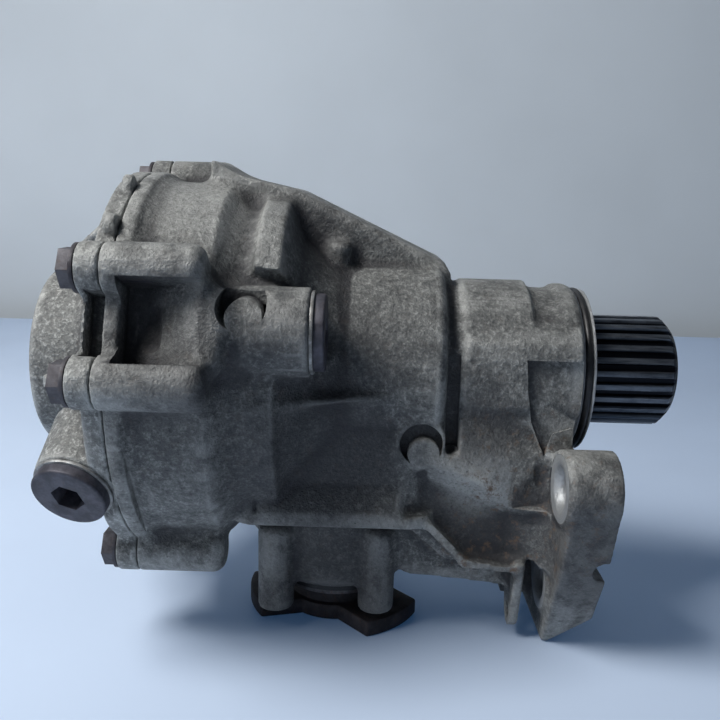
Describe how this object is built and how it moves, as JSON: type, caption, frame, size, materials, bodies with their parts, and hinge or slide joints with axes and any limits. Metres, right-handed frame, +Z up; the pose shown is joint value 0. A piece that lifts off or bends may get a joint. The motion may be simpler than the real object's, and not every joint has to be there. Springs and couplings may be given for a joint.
{
  "type": "angle drive",
  "caption": "Angle drive of a four-wheel-drive car: hollow splined input shaft, bevel gears in a cast housing with side cover, and a downward pinion with a three-armed flange.",
  "frame": {"origin": "on the axle axis, at the shoulder of the spigot that enters the gearbox", "axes": "+X along the axle towards the gearbox, +Z up, the pinion hangs along -Z, -Y faces the viewer"},
  "size_m": [0.2319, 0.1603, 0.1737],
  "materials": {
    "cast_aluminium": "rough cast",
    "cover_aluminium": "rough cast",
    "bolt_steel": "dull, rusted",
    "plug_steel": "dull, rusted",
    "washer_aluminium": "dull",
    "seal_rubber": "matt",
    "spline_steel": "oiled",
    "gear_steel": "ground",
    "flange_iron": "dull, rusted",
    "shield_steel": "dull",
    "shim_steel": "ground",
    "breather_plastic": "matt",
    "bearing_steel": "ground",
    "cage_steel": "pressed"
  },
  "bodies": {
    "case": {"main_housing": "cast_aluminium", "side_cover": "cover_aluminium", "cover_bolts": "bolt_steel", "cover_dowels": "bolt_steel", "fill_plug": "plug_steel", "fill_plug_washer": "washer_aluminium", "level_plug": "plug_steel", "level_plug_washer": "washer_aluminium", "spigot_ring_seal": "seal_rubber", "gearbox_side_seal": "seal_rubber", "axle_side_seal": "seal_rubber", "pinion_seal": "seal_rubber", "left_bearing_shim": "shim_steel", "right_bearing_shim": "shim_steel", "pinion_shim": "shim_steel", "breather": "breather_plastic", "left_bearing_cup": "bearing_steel", "right_bearing_cup": "bearing_steel", "head_bearing_cup": "bearing_steel", "tail_bearing_cup": "bearing_steel"},
    "input_shaft": {"hollow_shaft": "spline_steel", "ring_gear": "gear_steel", "ring_gear_bolts": "bolt_steel", "left_bearing_cone": "bearing_steel", "right_bearing_cone": "bearing_steel"},
    "pinion": {"pinion_shaft": "gear_steel", "head_bearing_cone": "bearing_steel", "tail_bearing_cone": "bearing_steel", "bearing_spacer": "shim_steel", "output_flange": "flange_iron", "flange_nut": "bolt_steel", "flange_washer": "bolt_steel", "dust_shield": "shield_steel"},
    "left_rollers": {"left_bearing_rollers": "bearing_steel", "left_bearing_cage": "cage_steel"},
    "right_rollers": {"right_bearing_rollers": "bearing_steel", "right_bearing_cage": "cage_steel"},
    "head_rollers": {"head_bearing_rollers": "bearing_steel", "head_bearing_cage": "cage_steel"},
    "tail_rollers": {"tail_bearing_rollers": "bearing_steel", "tail_bearing_cage": "cage_steel"}
  },
  "joints": [
    {"name": "input_spin", "type": "hinge", "parent": "case", "child": "input_shaft", "pos_m": [-0.1, 0, 0], "axis": [1, 0, 0], "continuous": true},
    {"name": "pinion_spin", "type": "hinge", "parent": "case", "child": "pinion", "pos_m": [-0.0855, 0, -0.06], "axis": [0, 0, 1], "continuous": true},
    {"name": "left_rollers_spin", "type": "hinge", "parent": "case", "child": "left_rollers", "pos_m": [-0.1, 0, 0], "axis": [1, 0, 0], "continuous": true},
    {"name": "right_rollers_spin", "type": "hinge", "parent": "case", "child": "right_rollers", "pos_m": [-0.1, 0, 0], "axis": [1, 0, 0], "continuous": true},
    {"name": "head_rollers_spin", "type": "hinge", "parent": "case", "child": "head_rollers", "pos_m": [-0.0855, 0, -0.06], "axis": [0, 0, 1], "continuous": true},
    {"name": "tail_rollers_spin", "type": "hinge", "parent": "case", "child": "tail_rollers", "pos_m": [-0.0855, 0, -0.06], "axis": [0, 0, 1], "continuous": true}
  ],
  "couplings": [
    {"joint": "pinion_spin", "follows": "input_spin", "ratio": -2.05},
    {"joint": "left_rollers_spin", "follows": "input_spin", "ratio": 0.45593},
    {"joint": "right_rollers_spin", "follows": "input_spin", "ratio": 0.45593},
    {"joint": "head_rollers_spin", "follows": "input_spin", "ratio": -0.9028},
    {"joint": "tail_rollers_spin", "follows": "input_spin", "ratio": -0.9152}
  ]
}
